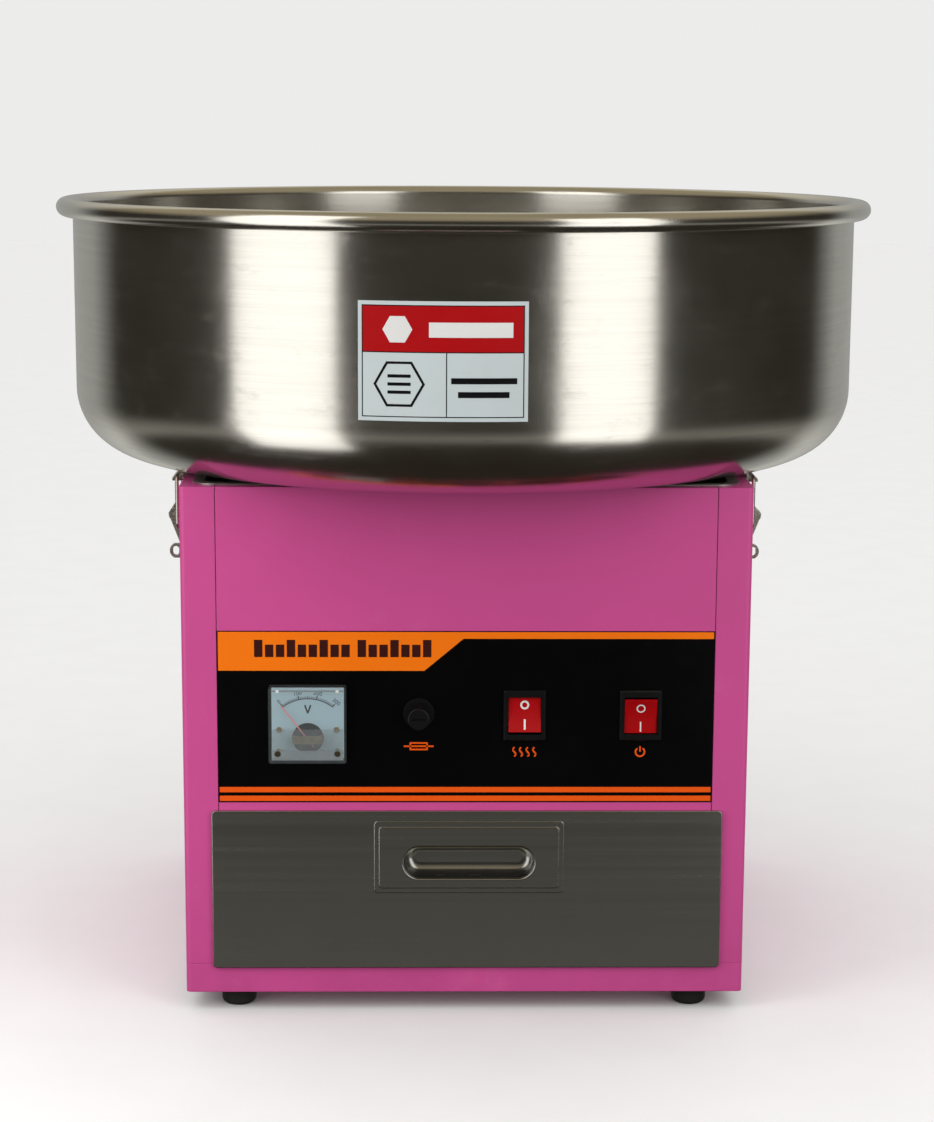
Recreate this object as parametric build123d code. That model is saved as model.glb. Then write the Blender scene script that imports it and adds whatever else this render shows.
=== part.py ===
"""Table-top cotton candy machine: steel cabinet with a drawer, a latched catch bowl and a spinner head.

Millimetres, +Z up, front at -Y. The origin is on the surface that the feet stand on, under the bowl's axis.
"""
import os
from math import cos, radians, sin

from build123d import *

# ---------------------------------------------------------------- driving dimensions
BODY = 170.0               # half the cabinet's width and half its depth
BODY_BOTTOM = 12.0
BODY_TOP = 324.0
SHEET = 1.2                # cabinet sheet
BEND = 3.0                 # outer radius of the cabinet's corners
POST_X = 149.0             # inner edge of the corner posts
SEAM = 0.4
PAN_TOP = 30.0             # top of the base pan's walls
FLANGE = 12.0              # top flange that the deck rests on

BOWL_RADIUS = 249.7        # outside of the wall
BOWL_BOTTOM = 326.7
BOWL_CORNER = 42.0
BOWL_SHEET = 1.0
RIM_RADIUS = 260.0
RIM_TOP = 488.0
BOWL_HOLE = 60.0

FRONT = -BODY              # face of the front panel
DECAL = 0.3
FACE = FRONT - DECAL       # face of the control decal

METER = (-94.6, 182.0)     # X and Z of each control's centre
FUSE = (-28.3, 187.5)
HEAT = (35.2, 186.0)
POWER = (104.9, 186.0)
METER_SIZE = 46.5
SWITCH_CUTOUT = (22.2, 27.8)
METER_CUTOUT = 21.9
FUSE_CUTOUT = 7.1

SHAFT = 5.0                # shaft radius
HEAD_RADIUS = 66.0
HEAD_BOTTOM = 388.0

LATCH_Y = 110.0            # latches sit this far before and behind the middle
FEET = [(x, y) for x in (-139.0, 139.0) for y in (-152.0, 152.0)]
GLAND = (-110.0, 66.0)     # X and Z of the cable gland on the rear panel

os.makedirs("parts", exist_ok=True)


# ---------------------------------------------------------------- helpers
def block(x, y, z):
    """A box from its low and high value on each axis."""
    size = [high - low for low, high in (x, y, z)]
    middle = [(high + low) / 2 for low, high in (x, y, z)]
    return Pos(*middle) * Box(*size)


def rod(radius, start, end):
    """A round bar between two points."""
    run = Vector(*end) - Vector(*start)
    return Plane(origin=start, z_dir=run) * extrude(Circle(radius), run.length)


def ring(outer, inner, low, high):
    """A tube about the machine's axis."""
    return rod(outer, (0, 0, low), (0, 0, high)) - rod(inner, (0, 0, low - 1), (0, 0, high + 1))


def hexagon(across_corners, start, end):
    """A hexagonal bar between two points."""
    run = Vector(*end) - Vector(*start)
    return Plane(origin=start, z_dir=run) * extrude(RegularPolygon(across_corners, 6), run.length)


def rounded_slab(width, depth, radius, low, high):
    """A flat plate with rounded corners, lying level."""
    return Pos(0, 0, low) * extrude(RectangleRounded(width, depth, radius), high - low)


def upright(sketch, x, z, front, back):
    """A sketch drawn in width and height, extruded from its front plane back into the machine."""
    plane = Plane(origin=(x, back, z), x_dir=(1, 0, 0), z_dir=(0, -1, 0))
    return plane * extrude(sketch, back - front)


def lathe(points):
    """A closed radius-and-height outline turned about the machine's axis."""
    return revolve(make_face(Plane.XZ * Polyline(*points, close=True)), Axis.Z)


def save(name, *shapes):
    """Write one node, with each separate piece as its own solid."""
    solids = [solid for shape in shapes for solid in shape.solids()]
    shape = solids[0] if len(solids) == 1 else Compound(children=solids)
    export_step(shape, f"parts/{name}.step")


def around(count, radius, start=0.0):
    """Points spaced evenly on a circle."""
    turns = [radians(start + 360 * index / count) for index in range(count)]
    return [(radius * cos(turn), radius * sin(turn)) for turn in turns]


# ---------------------------------------------------------------- cabinet
SCREW = 1.9                # shank radius of the small screws
SCREW_HOLE = 2.1
TAB = (128.0, 152.0)       # joggled tab behind the rear panel's edge
REAR_SCREWS = [(side * 139.0, z) for side in (-1, 1) for z in (50.0, 130.0, 210.0, 290.0)]
RUNNER_SCREW_Z = 102.0
SHELF_Z = 119.2
SHELF_SCREW_Z = SHELF_Z + 9
SIDE_SCREWS = [(y, z) for y in (-120.0, 0.0, 120.0) for z in (RUNNER_SCREW_Z, SHELF_SCREW_Z)]
LATCH_RIVET_Z = (288.5, 307.0)
VENT = (52.0, 4.5)         # length and height of each vent slot in the rear panel
VENT_COLUMNS = (-70.0, 0.0, 70.0)
VENT_ROWS = 9
VENT_BOTTOM = 170.0
VENT_PITCH = 13.0


def cabinet_ring(low, high):
    """The cabinet's four walls as one hollow square tube."""
    inner = 2 * (BODY - SHEET)
    outside = rounded_slab(2 * BODY, 2 * BODY, BEND, low, high)
    return outside - rounded_slab(inner, inner, BEND - SHEET, low - 1, high + 1)


def top_flange():
    """The flange turned in round the top of all four walls."""
    opening = 2 * (BODY - FLANGE)
    flange = rounded_slab(2 * BODY, 2 * BODY, BEND, BODY_TOP - SHEET, BODY_TOP)
    return flange - rounded_slab(opening, opening, 6, BODY_TOP - 5, BODY_TOP + 1)


def base_pan():
    wall = cabinet_ring(BODY_BOTTOM, PAN_TOP)
    floor = rounded_slab(2 * BODY, 2 * BODY, BEND, BODY_BOTTOM, BODY_BOTTOM + SHEET)
    pan = wall + floor
    for x, y in FEET:
        pan -= rod(SCREW_HOLE, (x, y, BODY_BOTTOM - 1), (x, y, BODY_BOTTOM + 3))
    return pan


def side_panel():
    """The right side: wall, corner posts, post returns, bottom tab and rear tab."""
    keep = block((POST_X, BODY + 1), (-BODY - 1, BODY + 1), (0, 400))
    inner = BODY - SHEET
    panel = (cabinet_ring(PAN_TOP, BODY_TOP) + top_flange()) & keep
    panel += block((POST_X, POST_X + SHEET), (-inner, -inner + 11), (PAN_TOP, BODY_TOP - SHEET))
    panel += block((inner - SHEET, inner), (-150, 150), (PAN_TOP - 14, PAN_TOP + 10))
    panel += block(TAB, (inner - SHEET, inner), (PAN_TOP, BODY_TOP - FLANGE))
    for y, z in SIDE_SCREWS:
        panel -= rod(SCREW_HOLE, (inner - 1, y, z), (BODY + 1, y, z))
    for x, z in REAR_SCREWS[4:]:
        panel -= rod(SCREW_HOLE, (x, inner - 3, z), (x, inner + 1, z))
    for y in (-LATCH_Y, LATCH_Y):
        for z in LATCH_RIVET_Z:
            panel -= rod(SCREW_HOLE, (inner - 1, y, z), (BODY + 1, y, z))
    return panel


def front_panel():
    edge = POST_X - SEAM
    bottom = SHELF_Z - SHEET
    inner = BODY - SHEET
    keep = block((-edge, edge), (-BODY - 1, 0), (0, 400))
    panel = block((-edge, edge), (-BODY, -inner), (bottom, BODY_TOP)) + (top_flange() & keep)
    panel += block((-edge, edge), (-inner, -inner + 16), (bottom, bottom + SHEET))
    for side in (-1, 1):
        sides = sorted((side * edge, side * (edge - SHEET)))
        panel += block(sides, (-inner, -inner + 11), (bottom, BODY_TOP - SHEET))
    for hole in control_cutouts():
        panel -= hole
    return panel


def control_cutouts():
    """Holes for the meter, the fuse holder and the two switches, through panel and decal."""
    back = FRONT + 5
    ahead = FRONT - 5
    cutouts = [(Circle(METER_CUTOUT), METER), (Circle(FUSE_CUTOUT), FUSE)]
    cutouts += [(Rectangle(*SWITCH_CUTOUT), centre) for centre in (HEAT, POWER)]
    return [upright(outline, *centre, ahead, back) for outline, centre in cutouts]


def rear_panel():
    edge = POST_X - SEAM
    inner = BODY - SHEET
    keep = block((-edge, edge), (0, BODY + 1), (0, 400))
    panel = block((-edge, edge), (inner, BODY), (PAN_TOP + SEAM, BODY_TOP)) + (top_flange() & keep)
    for column in VENT_COLUMNS:
        for row in range(VENT_ROWS):
            panel -= upright(SlotOverall(*VENT), column, VENT_BOTTOM + VENT_PITCH * row, inner - 1, BODY + 1)
    for x, z in REAR_SCREWS:
        panel -= rod(SCREW_HOLE, (x, inner - 1, z), (x, BODY + 1, z))
    panel -= rod(9.0, (GLAND[0], inner - 1, GLAND[1]), (GLAND[0], BODY + 1, GLAND[1]))
    return panel


DECK_RIM = 163.5           # outer edge of the deck's rim, on the flange
DECK_WELL = 157.6          # outside of the deck's well
DECK_FLOOR = 320.7
MOUNTS = [(x, y) for x in (-60.0, 60.0) for y in (-40.0, 40.0)]
STUD = 2.9


def top_plate():
    """The deck: a shallow stainless tray that hangs in the cabinet's top."""
    rim = rounded_slab(2 * DECK_RIM, 2 * DECK_RIM, 14, BODY_TOP, BODY_TOP + 1)
    tray = rounded_slab(2 * DECK_WELL, 2 * DECK_WELL, 9, DECK_FLOOR - SHEET, BODY_TOP + 1)
    well = 2 * (DECK_WELL - SHEET)
    plate = rim + tray - rounded_slab(well, well, 8, DECK_FLOOR, BODY_TOP + 2)
    plate -= rod(25, (0, 0, 300), (0, 0, 330))
    for x, y in MOUNTS:
        plate -= rod(STUD + 0.2, (x, y, 310), (x, y, 330))
    return plate


def divider_shelf():
    """The shelf that keeps the wiring away from the drawer."""
    inner = BODY - SHEET
    shelf = block((-inner, inner), (-155, 165), (SHELF_Z, SHELF_Z + SHEET))
    for side in (-1, 1):
        lip = sorted((side * inner, side * (inner - SHEET)))
        shelf += block(lip, (-150, 150), (SHELF_Z, SHELF_Z + 16))
        for y in (-120.0, 0.0, 120.0):
            hole = ((side * (inner - 3), y, SHELF_SCREW_Z), (side * (inner + 1), y, SHELF_SCREW_Z))
            shelf -= rod(SCREW_HOLE, *hole)
    return shelf


def pan_head(face, direction, length):
    """A pan-head screw seated at a point, with its shank along the direction."""
    start = Vector(*face)
    along = Vector(*direction)
    head = rod(3.7, start, start - along * 2.2)
    head = fillet(head.edges().filter_by(GeomType.CIRCLE).sort_by_distance(start - along * 2.2)[0], 1.0)
    turn = Plane(origin=start - along * 2.2, z_dir=along)
    slot = turn * Box(4.4, 0.9, 2.2) + turn * Box(0.9, 4.4, 2.2)
    return head - slot + rod(SCREW, start, start + along * length)


def cabinet():
    """Panels, deck and shelf; returns the screws that hold them."""
    save("base_pan", base_pan())
    right = side_panel()
    save("right_side_panel", right)
    save("left_side_panel", mirror(right, Plane.YZ))
    save("front_panel", front_panel())
    save("rear_panel", rear_panel())
    save("top_plate", top_plate())
    save("divider_shelf", divider_shelf())
    screws = [pan_head((x, BODY, z), (0, -1, 0), 7) for x, z in REAR_SCREWS]
    screws += [pan_head((side * BODY, y, z), (-side, 0, 0), 6) for side in (-1, 1) for y, z in SIDE_SCREWS]
    return screws


FOOT_TOP_RADIUS = 11.3
FOOT_TREAD_RADIUS = 10.3
FOOT_ROUND = 3.0
FOOT_RECESS = 5.0          # radius and depth of the recess that hides the screw's head
NUT_HEIGHT = 3.2


def feet(cabinet_screws):
    """Four rounded rubber feet, each held by a screw and a nut, and every fastener of the cabinet."""
    foot = Pos(0, 0, BODY_BOTTOM / 2) * Cone(FOOT_TREAD_RADIUS, FOOT_TOP_RADIUS, BODY_BOTTOM)
    foot = fillet(foot.edges().group_by(Axis.Z)[0], FOOT_ROUND)
    foot -= rod(FOOT_RECESS, (0, 0, -1), (0, 0, FOOT_RECESS)) + rod(SCREW_HOLE + 0.1, (0, 0, -1), (0, 0, 20))
    nut_seat = BODY_BOTTOM + SHEET
    screw = rod(4.2, (0, 0, 2.4), (0, 0, FOOT_RECESS)) + rod(SCREW, (0, 0, FOOT_RECESS), (0, 0, 20))
    screw -= Pos(0, 0, 2.4) * Box(7, 1, 2)
    nut = hexagon(4.2, (0, 0, nut_seat), (0, 0, nut_seat + NUT_HEIGHT))
    nut -= rod(SCREW + 0.05, (0, 0, 0), (0, 0, 30))
    save("rubber_feet", *[Pos(x, y, 0) * foot for x, y in FEET])
    foot_fasteners = [Pos(x, y, 0) * piece for x, y in FEET for piece in (screw, nut)]
    save("cabinet_fasteners", *cabinet_screws, *foot_fasteners)


# ---------------------------------------------------------------- drawer
DRAWER_X = 143.0
DRAWER_Z = (36.0, 111.1)
DRAWER_BACK = 128.0
DRAWER_SHEET = 1.0
DRAWER_FLANGE = 5.2        # width of the flange that rides in each runner
DRAWER_FACE = (-153.2, 155.4)
DRAWER_FACE_Z = (28.0, 127.0)
DRAWER_GAP = 0.4
FACE_THICKNESS = 2.0
PULL = (2.2, 98.3)         # X and Z of the flush pull's centre
PULL_PLATE = (115.0, 45.2)
PULL_STEP = (109.0, 38.6)
PULL_RISE = 0.9            # height of the plate and of the step on it
PULL_CUP = (2.2, 95.0)     # the cup sits a little below the plate's centre
PULL_SLOT = (79.0, 19.8)
PULL_DEPTH = 13.0


def drawer_box(front):
    """An open tray: a folded sheet for the floor and both ends, and two flanged sides welded on."""
    low, high = DRAWER_Z
    inside = DRAWER_X - DRAWER_SHEET
    tray = block((-inside, inside), (front, DRAWER_BACK), DRAWER_Z)
    hollow = (front + DRAWER_SHEET, DRAWER_BACK - DRAWER_SHEET)
    tray -= block((-DRAWER_X, DRAWER_X), hollow, (low + DRAWER_SHEET, high + 1))
    side = block((inside, DRAWER_X), (front, DRAWER_BACK), DRAWER_Z)
    flange = (DRAWER_X, DRAWER_X + DRAWER_FLANGE)
    side += block(flange, (front + 20, DRAWER_BACK), (high - DRAWER_SHEET, high))
    return tray, side, mirror(side, Plane.YZ)


def drawer_pull(face):
    """A pressed flush pull: stepped plate with an oblong finger cup."""
    length, height = PULL_SLOT
    front = face - 2 * PULL_RISE
    pull = rounded_front(upright(RectangleRounded(*PULL_PLATE, 2.5), *PULL, face - PULL_RISE, face), 0.6)
    pull += rounded_front(upright(RectangleRounded(*PULL_STEP, 2.0), *PULL, front, face - PULL_RISE), 0.6)
    cup = upright(SlotOverall(length + 3, height + 3), *PULL_CUP, face, face + PULL_DEPTH)
    pull += fillet(cup.edges().group_by(Axis.Y)[-1], 7.5)
    hollow = upright(SlotOverall(length, height), *PULL_CUP, face - 5, face + PULL_DEPTH - 1.5)
    pull -= fillet(hollow.edges().group_by(Axis.Y)[-1], 6.5)
    x, z = PULL_CUP
    front_edges = pull.edges().group_by(Axis.Y)[0]
    near = front_edges.filter_by(lambda edge: abs(edge.center().X - x) < length / 2)
    return fillet(near.filter_by(lambda edge: abs(edge.center().Z - z) < height / 2 + 1), 1.2)


def rounded_front(shape, radius):
    """The shape with the edges of its foremost face rounded."""
    return fillet(shape.edges().group_by(Axis.Y)[0], radius)


def drawer():
    back = FRONT - DRAWER_GAP
    face = back - FACE_THICKNESS
    left, right = DRAWER_FACE
    low, high = DRAWER_FACE_Z
    hole = upright(SlotOverall(PULL_SLOT[0] + 4, PULL_SLOT[1] + 4), *PULL_CUP, face - 5, back + 15)
    outline = RectangleRounded(right - left, high - low, 2.5)
    front = upright(outline, (left + right) / 2, (low + high) / 2, face, back) - hole
    long_edges = front.edges().group_by(Axis.Y)[0].filter_by(lambda edge: edge.length > 60)
    front = fillet(long_edges, 0.6)
    save("drawer_front", front)
    tray, *sides = drawer_box(back)
    save("drawer_box", tray - hole, *sides)
    save("drawer_pull", drawer_pull(face))
    runner = runner_profile()
    save("drawer_runners", runner, mirror(runner, Plane.YZ))


def runner_profile():
    """The right drawer runner: a C-channel on an arm from the side panel."""
    web = DRAWER_X + 6.4
    inner = BODY - SHEET
    along = (-155, 150)
    top = DRAWER_Z[1] + 4.7
    floor = DRAWER_Z[1] - 1.3
    runner = block((DRAWER_X + 1, web + SHEET), along, (floor - SHEET, floor))
    runner += block((web, web + SHEET), along, (floor, top))
    runner += block((DRAWER_X + 1, web + SHEET), along, (top - SHEET, top))
    runner += block((web + SHEET, inner), along, (floor - SHEET, floor))
    runner += block((inner - SHEET, inner), along, (floor - 15, floor))
    for y in (-120.0, 0.0, 120.0):
        runner -= rod(SCREW_HOLE, (inner - 3, y, RUNNER_SCREW_Z), (inner + 1, y, RUNNER_SCREW_Z))
    return runner


# ---------------------------------------------------------------- bowl
LABEL_ANGLE = (-14.4, 7.4)
LABEL_Z = (372.7, 439.3)
GASKET = (96.0, 104.0)


def turned_cup(radius, bottom, top, corner):
    """A solid round bar with its lower edge rounded."""
    bar = rod(radius, (0, 0, bottom), (0, 0, top))
    return fillet(bar.edges().group_by(Axis.Z)[0], corner)


def bowl():
    """Spun bowl with a collared centre hole and a rolled rim."""
    half = BOWL_SHEET / 2
    roll = (RIM_RADIUS - BOWL_RADIUS) / 2
    centre = (BOWL_RADIUS - half + roll, RIM_TOP - roll - half)
    shell = turned_cup(BOWL_RADIUS, BOWL_BOTTOM, centre[1], BOWL_CORNER)
    inner_corner = BOWL_CORNER - BOWL_SHEET
    shell -= turned_cup(BOWL_RADIUS - BOWL_SHEET, BOWL_BOTTOM + BOWL_SHEET, RIM_TOP, inner_corner)
    shell -= rod(BOWL_HOLE, (0, 0, 300), (0, 0, 400))
    shell += ring(BOWL_HOLE + BOWL_SHEET, BOWL_HOLE, BOWL_BOTTOM, BOWL_BOTTOM + 12)
    gap = [(0, 0)]
    for turn in (200, 225, 250):
        gap.append((2 * roll * cos(radians(turn)), 2 * roll * sin(radians(turn))))
    section = Circle(roll + half) - Circle(roll - half) - make_face(Polyline(*gap, close=True))
    return shell + revolve(Plane.XZ * Pos(*centre) * section, Axis.Z)


def bowl_label():
    """A thin printed plate stuck on the bowl's wall."""
    plate = ring(BOWL_RADIUS + 0.35, BOWL_RADIUS + 0.05, *LABEL_Z)
    start, end = LABEL_ANGLE
    wedge = [(0, 0)]
    for turn in (start, (start + end) / 2, end):
        wedge.append((300 * sin(radians(turn)), -300 * cos(radians(turn))))
    cutter = extrude(make_face(Polyline(*wedge, close=True)), 600)
    return plate & cutter


def bowl_parts():
    save("bowl", bowl())
    save("bowl_label", bowl_label())
    save("bowl_gasket", ring(GASKET[1], GASKET[0], DECK_FLOOR, BOWL_BOTTOM))


# ---------------------------------------------------------------- motor and slip rings
MOTOR_RADIUS = 48.0
MOTOR_CAN = (214.0, 272.0)
BEARING = 13.0
BRACKET_Z = (280.0, 283.0)
RING_Z = ((292.0, 297.0), (303.0, 308.0))
HUB_RADIUS = 11.0
RING_RADIUS = 14.0


def motor():
    low, high = MOTOR_CAN
    windings = ring(43, 33, 262, 268), ring(43, 33, 218, 224)
    save("motor_stator", ring(MOTOR_RADIUS - 3.1, 31.5, 224, 262), *windings)
    seat = BEARING + 0.05
    outer = MOTOR_RADIUS
    lower = lathe([(6, low - 14), (17, low - 14), (17, low - 8), (outer, low - 8),
                   (outer, low), (seat, low), (seat, low - 11), (6, low - 11)])
    upper = lathe([(seat, high), (outer, high), (outer, high + 8), (17, high + 8),
                   (17, high + 12), (6, high + 12), (6, high + 9), (seat, high + 9)])
    for x, y in around(4, 36, 45):
        upper -= rod(SCREW_HOLE, (x, y, high - 1), (x, y, high + 9))
    save("motor_housing", ring(MOTOR_RADIUS, MOTOR_RADIUS - 3, low, high), lower, upper)
    bore = SHAFT + 0.05
    save("motor_bearings", ring(BEARING, bore, low - 11, low - 3), ring(BEARING, bore, high + 1, high + 9))
    bracket = rounded_slab(150, 110, 8, *BRACKET_Z) - rod(17.2, (0, 0, 270), (0, 0, 290))
    for x, y in around(4, 36, 45):
        bracket -= rod(SCREW_HOLE, (x, y, 275), (x, y, 290))
    for x, y in MOUNTS:
        bracket -= rod(STUD + 0.2, (x, y, 275), (x, y, 290))
    save("motor_bracket", bracket)
    screws = [pan_head((x, y, BRACKET_Z[1]), (0, 0, -1), 13) for x, y in around(4, 36, 45)]
    rubber = ring(10, STUD + 0.05, BRACKET_Z[1], DECK_FLOOR - SHEET)
    rubber -= ring(12, 8, 296, 307)
    nuts = []
    for z in (DECK_FLOOR, BRACKET_Z[0] - 3.2):
        nuts.append(hexagon(5.6, (0, 0, z), (0, 0, z + 3.2)) - rod(STUD + 0.05, (0, 0, z - 1), (0, 0, z + 5)))
    save("rubber_mounts", *[Pos(x, y, 0) * rubber for x, y in MOUNTS])
    studs = [rod(STUD, (x, y, BRACKET_Z[0] - 5), (x, y, DECK_FLOOR + 4.5)) for x, y in MOUNTS]
    save("motor_fasteners", *screws, *studs, *[Pos(x, y, 0) * nut for x, y in MOUNTS for nut in nuts])


def slip_rings():
    """Two brass rings on the shaft and the sprung carbon brushes that feed the heater through them."""
    hub = ring(HUB_RADIUS, SHAFT, 288, 312)
    save("slip_rings", hub, *[ring(RING_RADIUS, HUB_RADIUS, low, high) for low, high in RING_Z])
    holder = block((19, 42), (-8, 8), (BRACKET_Z[1], 313))
    brushes = []
    for low, high in RING_Z:
        middle = (low + high) / 2
        holder -= block((18, 40), (-3.1, 3.1), (middle - 2.6, middle + 2.6))
        brushes.append(block((RING_RADIUS + 0.3, 30), (-3, 3), (middle - 2.5, middle + 2.5)))
    save("brush_holder", holder, *brushes)


# ---------------------------------------------------------------- spinner head
HEAD_PLATE = 3.5
BAND_RADIUS = 63.0
BAND_HEIGHT = 32.0
WELL_RADIUS = 30.0
HEATER_RADIUS = 46.0
SHROUD_TOP = 352.0


def spinner():
    """Everything that turns: shaft, rotor, base, slotted band, heater, sugar well, lid and nut."""
    base_top = HEAD_BOTTOM + HEAD_PLATE
    lid_bottom = base_top + BAND_HEIGHT
    lid_top = lid_bottom + HEAD_PLATE
    posts = around(6, 58, 30)
    save("motor_shaft", rod(SHAFT, (0, 0, 202), (0, 0, base_top + 7)))
    save("motor_rotor", ring(30.5, SHAFT, 224, 262))
    base = ring(HEAD_RADIUS, SHAFT, HEAD_BOTTOM, base_top) + ring(14, SHAFT, HEAD_BOTTOM - 16, HEAD_BOTTOM)
    lid = lathe([(26, lid_bottom - 4), (27.5, lid_bottom - 4), (27.5, lid_bottom),
                 (HEAD_RADIUS, lid_bottom), (HEAD_RADIUS, lid_top - 1.5), (HEAD_RADIUS - 1.5, lid_top),
                 (33, lid_top), (26, lid_top - 2)])
    for x, y in posts:
        base -= rod(SCREW_HOLE, (x, y, HEAD_BOTTOM - 1), (x, y, base_top + 1))
        lid -= rod(SCREW_HOLE, (x, y, lid_bottom - 1), (x, y, lid_top + 1))
    save("spinner_base", base)
    save("spinner_lid", lid)
    band = ring(BAND_RADIUS, BAND_RADIUS - 1, base_top, lid_bottom)
    slots = 48
    for turn in range(slots):
        slot = Rot(0, 0, 360 * turn / slots) * block((50, 70), (-0.8, 0.8), (base_top + 4, lid_bottom - 4))
        band -= slot
    save("spinner_band", band)
    well = ring(WELL_RADIUS, WELL_RADIUS - 1, base_top, lid_bottom - 5)
    for turn in range(12):
        well -= Rot(0, 0, 30 * turn) * block((20, 40), (-2, 2), (base_top + 2, base_top + 7))
    save("sugar_well", well)
    heater_z = base_top + 13
    insulators = [rod(4, (x, y, base_top), (x, y, heater_z - 3.6)) for x, y in around(4, HEATER_RADIUS, 45)]
    save("heater_element", Pos(0, 0, heater_z) * Torus(HEATER_RADIUS, 3.5), *insulators)
    spacers = [Pos(x, y, 0) * ring(3.2, SCREW_HOLE, base_top, lid_bottom) for x, y in posts]
    screws = [pan_head((x, y, lid_top), (0, 0, -1), lid_top - HEAD_BOTTOM) for x, y in posts]
    nut_top = base_top + 6
    nut = hexagon(9, (0, 0, base_top), (0, 0, nut_top)) + rod(7, (0, 0, nut_top), (0, 0, nut_top + 4))
    nut = fillet(nut.edges().group_by(Axis.Z)[-1], 3) - rod(SHAFT, (0, 0, base_top - 1), (0, 0, nut_top + 1))
    save("spinner_fasteners", nut, *spacers, *screws)
    shroud = lathe([(53.8, DECK_FLOOR), (63, DECK_FLOOR), (63, DECK_FLOOR + SHEET), (55, DECK_FLOOR + SHEET),
                    (55, SHROUD_TOP), (9, SHROUD_TOP), (9, SHROUD_TOP - SHEET), (53.8, SHROUD_TOP - SHEET)])
    save("shaft_shroud", shroud)


# ---------------------------------------------------------------- meter
METER_FRAME = 3.0
NEEDLE_PIVOT_DROP = 9.4
NEEDLE_REST = 37.5         # degrees to the left of straight up
DIAL_WINDOW = 9.4          # opening in the dial that shows the movement
DIAL_SIZE = 43.2
DIAL_SCREW = (17.2, -4.1)  # offsets from the meter's centre
COVER_SCREW = (17.8, -17.4)
METER_DEPTH = 30.0
METER_BARREL = 21.5        # radius of the case behind the panel
COVER_BORE = 1.9


def meter():
    """Moving-coil voltmeter with a clear cover."""
    x, z = METER
    back = FACE
    frame = back - METER_FRAME
    cover_face = back - 11.5
    pivot = (x, z - NEEDLE_PIVOT_DROP)
    case = upright(RectangleRounded(METER_SIZE, METER_SIZE, 1.5), x, z, frame, back)
    case += upright(Circle(METER_BARREL), x, z, back, back + METER_DEPTH)
    case -= upright(Circle(METER_BARREL - 1.5), x, z, frame - 1, back + METER_DEPTH - 1.5)
    save("meter_case", case)
    dial = upright(Rectangle(DIAL_SIZE, DIAL_SIZE), x, z, frame - 0.5, frame)
    dial -= upright(Circle(DIAL_WINDOW), *pivot, frame - 2, frame + 1)
    save("meter_dial", dial)
    cover = upright(RectangleRounded(METER_SIZE, METER_SIZE, 1.5), x, z, cover_face, frame)
    cover = fillet(cover.edges().group_by(Axis.Y)[0], 1.0)
    cover -= upright(Rectangle(METER_SIZE - 3, METER_SIZE - 3), x, z, cover_face + 1.4, frame + 1)
    for side in (-1, 1):
        corner = (x + side * COVER_SCREW[0], z + COVER_SCREW[1])
        cover -= upright(Circle(COVER_BORE), *corner, cover_face - 1, cover_face + 3)
    save("meter_cover", cover)
    needle_y = frame - 3.2
    turn = Pos(pivot[0], 0, pivot[1]) * Rot(0, -NEEDLE_REST, 0)
    needle = turn * block((-0.35, 0.35), (needle_y - 0.4, needle_y), (-6, 26))
    needle += upright(Circle(2.0), *pivot, needle_y - 0.8, needle_y + 0.8)
    needle += rod(0.6, (pivot[0], needle_y, pivot[1]), (pivot[0], frame + 9, pivot[1]))
    save("meter_needle", needle)
    magnet = upright(Circle(14), *pivot, frame + 2, frame + 12)
    magnet -= upright(Circle(0.66), *pivot, frame - 1, frame + 14)
    magnet = magnet & upright(Circle(METER_BARREL - 1.6), x, z, frame - 1, frame + 28)
    bridge_y = needle_y - 2.4
    bridge = upright(RectangleRounded(18, 5, 1), pivot[0], pivot[1], bridge_y, bridge_y + 0.8)
    for side in (-8, 8):
        bridge += upright(Rectangle(1.6, 4), pivot[0] + side, pivot[1], bridge_y + 0.8, frame + 2)
    screws = []
    for side in (-1, 1):
        for (across, up), front in ((DIAL_SCREW, frame - 1.4), (COVER_SCREW, frame - 3.2)):
            centre = (x + side * across, z + up)
            head = upright(Circle(1.7), *centre, front, frame - 0.5)
            screws.append(head - upright(Rectangle(3, 0.5), *centre, front - 1, front + 0.4))
    rear = back + METER_DEPTH
    studs = [rod(1.5, (x + side, rear, z), (x + side, rear + 10, z)) for side in (-10, 10)]
    save("meter_movement", magnet, bridge, *screws, *studs)


# ---------------------------------------------------------------- fuse holder
def fuse_holder():
    x, z = FUSE
    body = upright(Circle(9.3), x, z, FACE - 2.6, FACE) + upright(Circle(7), x, z, FACE, FACE + 40)
    body -= upright(Circle(5.7), x, z, FACE - 5, FACE + 38)
    nut_y = FRONT + SHEET
    nut = hexagon(11, (x, nut_y, z), (x, nut_y + 4, z)) - upright(Circle(7.05), x, z, nut_y - 1, nut_y + 6)
    save("fuse_holder", body, nut)
    knob_back = FACE - 2.9
    knob_front = knob_back - 15
    knob = upright(Circle(6.6), x, z, knob_front, knob_back)
    knob = fillet(knob.edges().group_by(Axis.Y)[0], 0.8)
    for gx, gz in around(16, 6.9):
        knob -= upright(Circle(0.55), x + gx, z + gz, knob_front + 3, knob_back)
    knob += upright(Circle(5.5), x, z, knob_back, knob_back + 8)
    knob -= upright(Rectangle(8, 1.4), x, z, knob_front - 1, knob_front + 1.2)
    save("fuse_cap", knob)
    fuse_front = knob_back + 8.3
    fuse_back = fuse_front + 20
    glass = upright(Circle(2.45), x, z, fuse_front + 1, fuse_back - 1)
    glass -= upright(Circle(1.8), x, z, fuse_front, fuse_back)
    ends = []
    for low, high, cut in ((fuse_front, fuse_front + 5, (fuse_front + 1, fuse_front + 6)),
                           (fuse_back - 5, fuse_back, (fuse_back - 6, fuse_back - 1))):
        ends.append(upright(Circle(2.7), x, z, low, high) - upright(Circle(2.47), x, z, *cut))
    save("glass_fuse", glass, *ends)


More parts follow.
